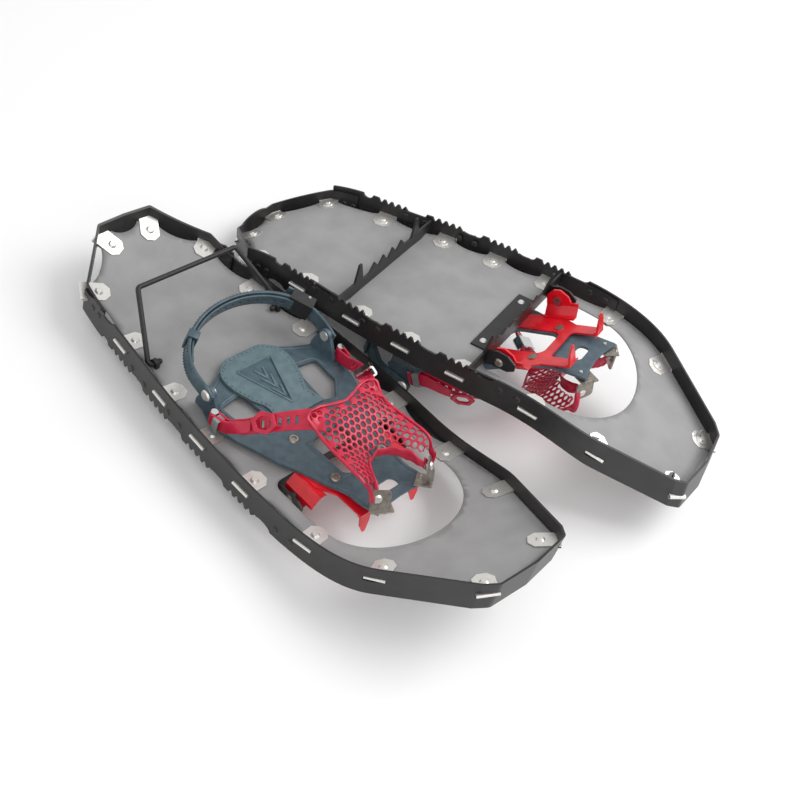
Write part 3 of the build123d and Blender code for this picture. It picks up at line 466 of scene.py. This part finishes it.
for step in range(rib_count):
    degrees = 8 + step * 164 / (rib_count - 1)
    outward, facing = out_of_bow(degrees)
    middle = on_bow(degrees) + outward * 1.5
    for height in (-6.4, 6.4):
        place = Matrix.Translation(middle + Vector((0, 0, height))) @ facing
        bmesh.ops.create_cube(ribs, size=1, matrix=place @ Matrix.Diagonal((1.5, 2.4, 1.3, 1)))
bmesh.ops.bevel(ribs, geom=ribs.edges[:], offset=0.4, segments=2, profile=0.5, affect="EDGES", material=-1)
both_shoes(ribs, "heel_strap_ribs", "heel_strap", strap_plastic, places=strap_places)


# ---- Binding bases and heel pads: moulded elastomer. The CAD forms with softened edges, raised beads
# beside the windows and parts of the outline, and on the pad a rim of pimples and three chevrons.
def merged_local(name):
    """The standing shoe's CAD mesh, merged, in that shoe's millimetres."""
    copy = bmesh.new()
    copy.from_mesh(nodes[name].data)
    bmesh.ops.transform(copy, matrix=standing.inverted(), verts=copy.verts)
    bmesh.ops.remove_doubles(copy, verts=copy.verts, dist=0.003)
    bmesh.ops.dissolve_limit(copy, angle_limit=math.radians(1.5), verts=copy.verts, edges=copy.edges)
    return copy


def rounded_plan(form, radius, keep_clear):
    """Rounds the upright corners of a moulding, except where keep_clear(x, y)."""
    corners = [e for e in form.edges if len(e.link_faces) == 2 and e.calc_face_angle(0) > 0.2
               and abs((e.verts[1].co - e.verts[0].co).normalized().z) > 0.97 and 1.5 < e.calc_length() < 5
               and not keep_clear(e.verts[0].co.x, e.verts[0].co.y)]
    bmesh.ops.bevel(form, geom=corners, offset=radius, segments=6, profile=0.5, affect="EDGES", material=-1,
                    clamp_overlap=True)


soft_edges = [("BEVEL", [("width", 0.0006), ("segments", 2), ("limit_method", "ANGLE"),
                         ("angle_limit", math.radians(40)), ("harden_normals", False)]),
              ("WEIGHTED_NORMAL", [("keep_sharp", False)])]
base_form = merged_local("left_binding_base")
rounded_plan(base_form, 7, lambda x, y: abs(x) > 64 or y > 150)
base_tops = BVHTree.FromBMesh(base_form)
side_window = [(31, -23), (60, -19), (58, 12), (42, 30), (29, 26)]
middle_window = [(-24, 58), (24, 58), (24, 108), (-24, 108)]
front_edge = [(66, 45), (60, 63), (54, 75.5), (48, 90), (41, 110), (35, 123), (35.5, 143), (35, 158)]
heel_edge = [(34, -54), (52, -44), (70, -36)]
bead = bmesh.new()


def bead_along(points, closed, inset):
    """A low rounded bead on the base's top face, beside a line."""
    count = len(points)
    dense = []
    for i in range(count if closed else count - 1):
        a, b = Vector(points[i]), Vector(points[(i + 1) % count])
        steps = max(2, int((b - a).length / 3))
        dense += [a.lerp(b, t / steps) for t in range(steps)]
    if not closed:
        dense.append(Vector(points[-1]))
    for _ in range(3):
        last = len(dense)
        dense = [dense[i] if not closed and i in (0, last - 1) else
                 (dense[i - 1] + 2 * dense[i] + dense[(i + 1) % last]) / 4 for i in range(last)]
    rows = []
    for i, spot in enumerate(dense):
        ahead = dense[(i + 1) % len(dense)] if closed or i + 1 < len(dense) else spot
        behind = dense[i - 1] if closed or i else spot
        along = (ahead - behind).normalized()
        normal = Vector((-along.y, along.x))
        row = []
        for offset, lift in ((-1.3, -0.2), (-0.8, 0.6), (0, 0.85), (0.8, 0.6), (1.3, -0.2)):
            place = spot + normal * (inset + offset)
            hit = base_tops.ray_cast(Vector((place.x, place.y, 60)), Vector((0, 0, -1)))[0]
            row.append((place, hit.z if hit else None, lift))
        if any(z is None for _, z, _ in row):
            rows.append(None)
            continue
        rows.append([bead.verts.new((p.x, p.y, z + lift)) for p, z, lift in row])
    total = len(rows)
    for i in range(total if closed else total - 1):
        near, far = rows[i], rows[(i + 1) % total]
        if near and far:
            for j in range(4):
                bead.faces.new((near[j], far[j], far[j + 1], near[j + 1]))


side_beads = ((side_window, True, -3.0), (front_edge, False, 3.0), (heel_edge, False, 3.0))
for mirrored in (1, -1):
    for points, closed, inset in side_beads:
        bead_along([(mirrored * x, y) for x, y in points], closed, inset * mirrored)
bead_along(middle_window, True, -0.5)
bmesh.ops.recalc_face_normals(bead, faces=bead.faces)
if sum(face.normal.z for face in bead.faces) < 0:
    bmesh.ops.reverse_faces(bead, faces=bead.faces)
both_shoes(base_form, "base_shell", "binding", base_plastic, soft_edges, ["binding_base"])
both_shoes(bead, "base_beads", "binding", base_plastic)
pad_form = merged_local("left_heel_pad")
rounded_plan(pad_form, 9, lambda x, y: y > 20 or abs(x) < 21 and -44 < y < 15)
pad_tops = BVHTree.FromBMesh(pad_form)
both_shoes(pad_form, "pad_shell", "binding", pad_plastic, soft_edges, ["heel_pad"])
details = bmesh.new()
rim_line = [(0, -59), (20.5, -59), (34.5, -48.5), (36.7, -38), (35.4, -26.5), (29.5, -9.5), (21.3, 6),
            (23.5, 17)]
rim_line = rim_line + [(-x, y) for x, y in reversed(rim_line[1:])]
rim_points = [Vector(p) for p in rim_line]
for a, b in zip(rim_points, rim_points[1:] + rim_points[:1]):
    if a.x > 20 and b.x < -20:
        continue
    steps = max(1, round((b - a).length / 5.0))
    for t in range(steps):
        spot = a.lerp(b, t / steps)
        hit = pad_tops.ray_cast(Vector((spot.x, spot.y, 40)), Vector((0, 0, -1)))[0]
        if hit:
            place = Matrix.Translation((spot.x, spot.y, hit.z)) @ Matrix.Diagonal((1, 1, 0.7, 1))
            bmesh.ops.create_icosphere(details, subdivisions=2, radius=1.25, matrix=place)
triangle = [Vector((-22, -44)), Vector((22, -44)), Vector((0, 15))]
side_way = Vector((21, -57)).normalized()
for a, b in zip(triangle, triangle[1:] + triangle[:1]):
    middle, way = (a + b) / 2, (b - a)
    bar = Matrix.Translation((middle.x, middle.y, 8.7)) @ Matrix.Rotation(math.atan2(way.y, way.x), 4, "Z")
    bmesh.ops.create_cube(details, size=1, matrix=bar @ Matrix.Diagonal((way.length - 3, 1.8, 1.4, 1)))
for tip, reach in ((4, 15), (-9, 17), (-22, 15)):
    for mirrored in (1, -1):
        middle = Vector((0, tip)) + Vector((mirrored * side_way.x, side_way.y)) * reach / 2
        bar = (Matrix.Translation((middle.x, middle.y, 7.9))
               @ Matrix.Rotation(math.atan2(side_way.y, mirrored * side_way.x), 4, "Z"))
        bmesh.ops.create_cube(details, size=1, matrix=bar @ Matrix.Diagonal((reach, 2.2, 1.6, 1)))
floor_plate = bmesh.new()
floor_plate.faces.new([floor_plate.verts.new((p.x * 0.95, (p.y + 24) * 0.95 - 24, 6.9)) for p in triangle])
grown = bmesh.ops.extrude_face_region(floor_plate, geom=floor_plate.faces[:])["geom"]
bmesh.ops.translate(floor_plate, vec=(0, 0, 0.8),
                    verts=[g for g in grown if isinstance(g, bmesh.types.BMVert)])
bmesh.ops.recalc_face_normals(floor_plate, faces=floor_plate.faces)
# the recess floor plate is coloured with painted shade, a darker teal than the pad around it
both_shoes(floor_plate, "pad_recess_floor", "binding", recess_painted_shade_plastic, soft_edges)
both_shoes(details, "pad_pimples_and_chevrons", "binding", pad_plastic,
           [("BEVEL", [("width", 0.0004), ("segments", 2), ("limit_method", "ANGLE"),
                       ("angle_limit", math.radians(50))])])

# ---- Decks: one cut sheet each, drawn tight by the clips, so it dips a little away from its edges and
# rivets. The outline, holes and curve come from the upper face of the CAD deck.
upper = bmesh.new()
upper.from_mesh(nodes["left_deck"].data)
bmesh.ops.transform(upper, matrix=standing.inverted(), verts=upper.verts)
bmesh.ops.remove_doubles(upper, verts=upper.verts, dist=0.003)
upper.normal_update()
bmesh.ops.delete(upper, geom=[f for f in upper.faces if f.normal.z < 0.5], context="FACES")
upper_faces = BVHTree.FromBMesh(upper)
spots, rims = [], []
numbers = {}
for edge in upper.edges:
    if len(edge.link_faces) == 1:
        ends = []
        for vertex in edge.verts:
            if vertex not in numbers:
                numbers[vertex] = len(spots)
                spots.append(Vector((vertex.co.x, vertex.co.y)))
            ends.append(numbers[vertex])
        rims.append(ends)
edge_points = list(spots)
deepest_dip, dip_reach = 0.9, 34              # mm, and how far from an edge it is reached
for i in range(-17, 18):
    for j in range(-40, 47):
        spot = Vector((i * 6.1, j * 6.3))
        if min((spot - p).length_squared for p in edge_points) > 9:
            spots.append(spot)
flat, _, triangles, _, _, _ = delaunay_2d_cdt(spots, rims, [], 0, 0.001)
sheet = bmesh.new()


def deck_height(x, y):
    hit = upper_faces.ray_cast(Vector((x, y, 150)), Vector((0, 0, -1)))[0]
    return hit.z if hit else None


corners = []
for p in flat:
    near = min((p - q).length for q in edge_points)
    height = deck_height(p.x, p.y)
    if height is None:
        height = upper_faces.find_nearest(Vector((p.x, p.y, 0)))[0].z
    dip = deepest_dip * min(1.0, near / dip_reach) ** 1.5
    corners.append(sheet.verts.new((p.x, p.y, height - dip)))
for triangle in triangles:
    middle = sum((flat[i] for i in triangle), Vector((0, 0))) / len(triangle)
    if deck_height(middle.x, middle.y) is not None:
        sheet.faces.new([corners[i] for i in triangle])
loose = [v for v in sheet.verts if not v.link_faces]
bmesh.ops.delete(sheet, geom=loose, context="VERTS")
sheet.normal_update()
if sum(face.normal.z for face in sheet.faces) < 0:
    bmesh.ops.reverse_faces(sheet, faces=sheet.faces)
upper.free()
both_shoes(sheet, "deck_sheet", "frame", deck_cloth,
           [("SOLIDIFY", [("thickness", 0.0012), ("offset", -1.0)])], ["deck"],
           {"left": standing, "right": frame_over @ mirrored_shoe})

# ---- Floor and studio light: plain, pale and soft.
plane = bmesh.new()
bmesh.ops.create_grid(plane, x_segments=1, y_segments=1, size=6.0)
floor_mesh = bpy.data.meshes.new("floor")
plane.to_mesh(floor_mesh)
floor = bpy.data.objects.new("floor", floor_mesh)
bpy.context.scene.collection.objects.link(floor)
paper = finish("Pale paper floor", "#f4f4f4", 0.0, 0.9)[0]
floor_mesh.materials.append(paper)
world = bpy.data.worlds.new("studio")
bpy.context.scene.world = world
world.use_nodes = True
world.node_tree.nodes["Background"].inputs["Color"].default_value = (1, 1, 1, 1)
world.node_tree.nodes["Background"].inputs["Strength"].default_value = 0.75
for name, spot, size, power in (("key", (-1.2, 0.9, 2.0), 1.6, 34), ("fill", (1.6, 1.4, 1.6), 2.0, 12)):
    lamp = bpy.data.lights.new(name, "AREA")
    lamp.size, lamp.energy = size, power
    holder = bpy.data.objects.new(name, lamp)
    holder.location = spot
    holder.rotation_euler = (-Vector(spot)).to_track_quat("-Z", "Y").to_euler()
    bpy.context.scene.collection.objects.link(holder)

# ---- Camera: above the toes, on the right of the standing shoe.
camera = bpy.data.cameras.new("camera")
camera.sensor_width = 36.0
camera.lens = 57.916                          # mm, on a 36 mm wide sensor
viewer = bpy.data.objects.new("camera", camera)
bpy.context.scene.collection.objects.link(viewer)
bpy.context.scene.camera = viewer
viewer.location = (0.8029, 0.4745, 0.908)
viewer.rotation_euler = [math.radians(angle) for angle in (43.904, -14.825, 134.462)]
bpy.context.scene.view_settings.view_transform = "Standard"
